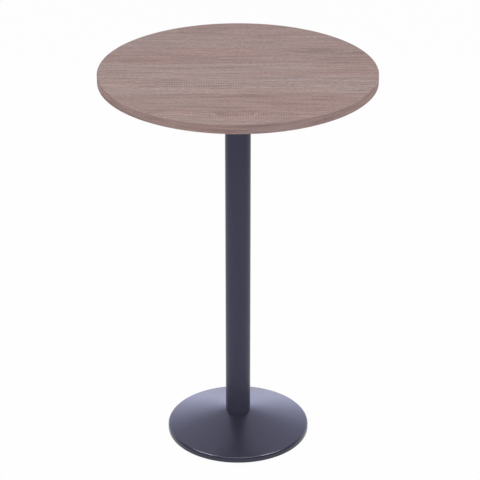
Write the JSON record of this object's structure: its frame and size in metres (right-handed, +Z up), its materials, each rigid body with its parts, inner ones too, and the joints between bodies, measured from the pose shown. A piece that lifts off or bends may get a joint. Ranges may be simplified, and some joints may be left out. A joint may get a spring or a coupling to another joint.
{
  "type": "pub table",
  "caption": "Tall round pub table: wood-grain laminated top on a slim black column with a low weighted cone base on levelling feet.",
  "frame": {"origin": "on the floor under the column's axis", "axes": "+Z up along the column, +X to the right in the picture, +Y away from the camera"},
  "size_m": [0.75, 0.75, 1.105],
  "materials": {
    "decor_laminate": "matt sawn-oak grain laminate",
    "edge_strip": "matt grain-matched strip",
    "balance_laminate": "plain matt balance sheet",
    "particle_board": "raw particle board",
    "black_coat": "satin black powder coat",
    "plain_steel": "plain mild steel",
    "primed_iron": "dark primed casting",
    "zinc_steel": "bright zinc plate",
    "pad_plastic": "matt black nylon"
  },
  "bodies": {
    "table": {"edge_band": "edge_strip", "top_laminate": "decor_laminate", "underside_laminate": "balance_laminate", "tabletop_core": "particle_board", "mounting_spider": "black_coat", "tabletop_screws": "zinc_steel", "spider_screws": "zinc_steel", "column_tube": "black_coat", "column_top_disc": "plain_steel", "column_foot_disc": "plain_steel", "tie_rod": "zinc_steel", "base_cover": "black_coat", "ballast_casting": "primed_iron", "tie_rod_washer": "zinc_steel", "tie_rod_spring_washer": "zinc_steel", "tie_rod_nut": "zinc_steel"},
    "foot_1": {"foot_pad_1": "pad_plastic"},
    "stud_1": {"foot_stud_1": "zinc_steel"},
    "foot_2": {"foot_pad_2": "pad_plastic"},
    "stud_2": {"foot_stud_2": "zinc_steel"},
    "foot_3": {"foot_pad_3": "pad_plastic"},
    "stud_3": {"foot_stud_3": "zinc_steel"},
    "foot_4": {"foot_pad_4": "pad_plastic"},
    "stud_4": {"foot_stud_4": "zinc_steel"}
  },
  "joints": [
    {"name": "foot_1_lift", "type": "slide", "parent": "table", "child": "foot_1", "axis": [0, 0, -1], "range_m": [0, 0.007]},
    {"name": "foot_1_turn", "type": "hinge", "parent": "foot_1", "child": "stud_1", "pos_m": [0.10889, 0.10889, 0.009], "axis": [0, 0, -1], "range_deg": [0, 1680]},
    {"name": "foot_2_lift", "type": "slide", "parent": "table", "child": "foot_2", "axis": [0, 0, -1], "range_m": [0, 0.007]},
    {"name": "foot_2_turn", "type": "hinge", "parent": "foot_2", "child": "stud_2", "pos_m": [-0.10889, 0.10889, 0.009], "axis": [0, 0, -1], "range_deg": [0, 1680]},
    {"name": "foot_3_lift", "type": "slide", "parent": "table", "child": "foot_3", "axis": [0, 0, -1], "range_m": [0, 0.007]},
    {"name": "foot_3_turn", "type": "hinge", "parent": "foot_3", "child": "stud_3", "pos_m": [-0.10889, -0.10889, 0.009], "axis": [0, 0, -1], "range_deg": [0, 1680]},
    {"name": "foot_4_lift", "type": "slide", "parent": "table", "child": "foot_4", "axis": [0, 0, -1], "range_m": [0, 0.007]},
    {"name": "foot_4_turn", "type": "hinge", "parent": "foot_4", "child": "stud_4", "pos_m": [0.10889, -0.10889, 0.009], "axis": [0, 0, -1], "range_deg": [0, 1680]}
  ],
  "couplings": [
    {"joint": "foot_1_lift", "follows": "foot_1_turn", "m_per_rad": 0.0002387},
    {"joint": "foot_2_lift", "follows": "foot_2_turn", "m_per_rad": 0.0002387},
    {"joint": "foot_3_lift", "follows": "foot_3_turn", "m_per_rad": 0.0002387},
    {"joint": "foot_4_lift", "follows": "foot_4_turn", "m_per_rad": 0.0002387}
  ]
}
